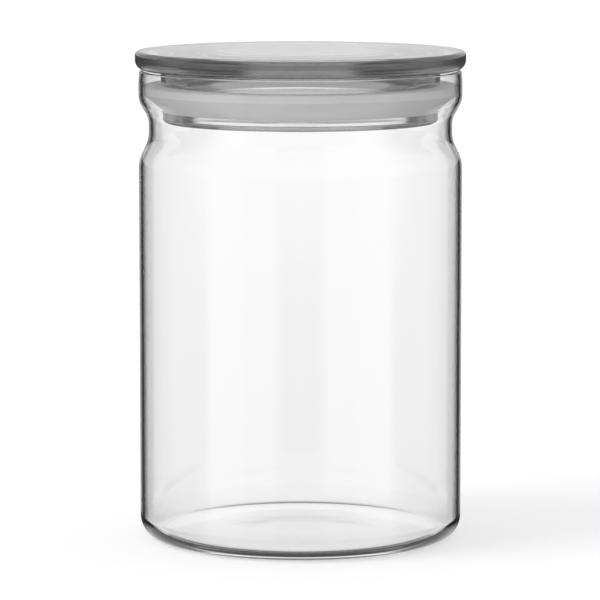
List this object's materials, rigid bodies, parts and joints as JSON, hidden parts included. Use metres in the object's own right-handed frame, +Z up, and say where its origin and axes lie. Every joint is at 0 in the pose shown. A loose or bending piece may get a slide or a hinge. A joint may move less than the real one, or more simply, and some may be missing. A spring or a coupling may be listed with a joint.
{
  "type": "glass storage container",
  "caption": "Clear glass kitchen storage jar with a waisted neck and a thick drop-in glass lid sealed by a silicone ring.",
  "frame": {"origin": "centre of the standing ring, on the surface the jar stands on", "axes": "+Z up, along the jar's axis of revolution; X and Y are any two level directions, because the object is round"},
  "size_m": [0.1028, 0.1028, 0.1522],
  "materials": {
    "jar_glass": "polished, thin blown clear glass",
    "lid_glass": "polished, thick pressed clear glass",
    "silicone": "matt, frosted translucent silicone"
  },
  "bodies": {
    "jar": {"jar": "jar_glass"},
    "seal": {"seal_ring": "silicone"},
    "lid": {"lid": "lid_glass"}
  },
  "joints": [
    {"name": "lid_lift", "type": "slide", "parent": "jar", "child": "seal", "axis": [0, 0, 1], "range_m": [0, 0.06]},
    {"name": "lid_turn", "type": "hinge", "parent": "seal", "child": "lid", "pos_m": [0, 0, 0.138], "axis": [0, 0, 1], "continuous": true}
  ]
}
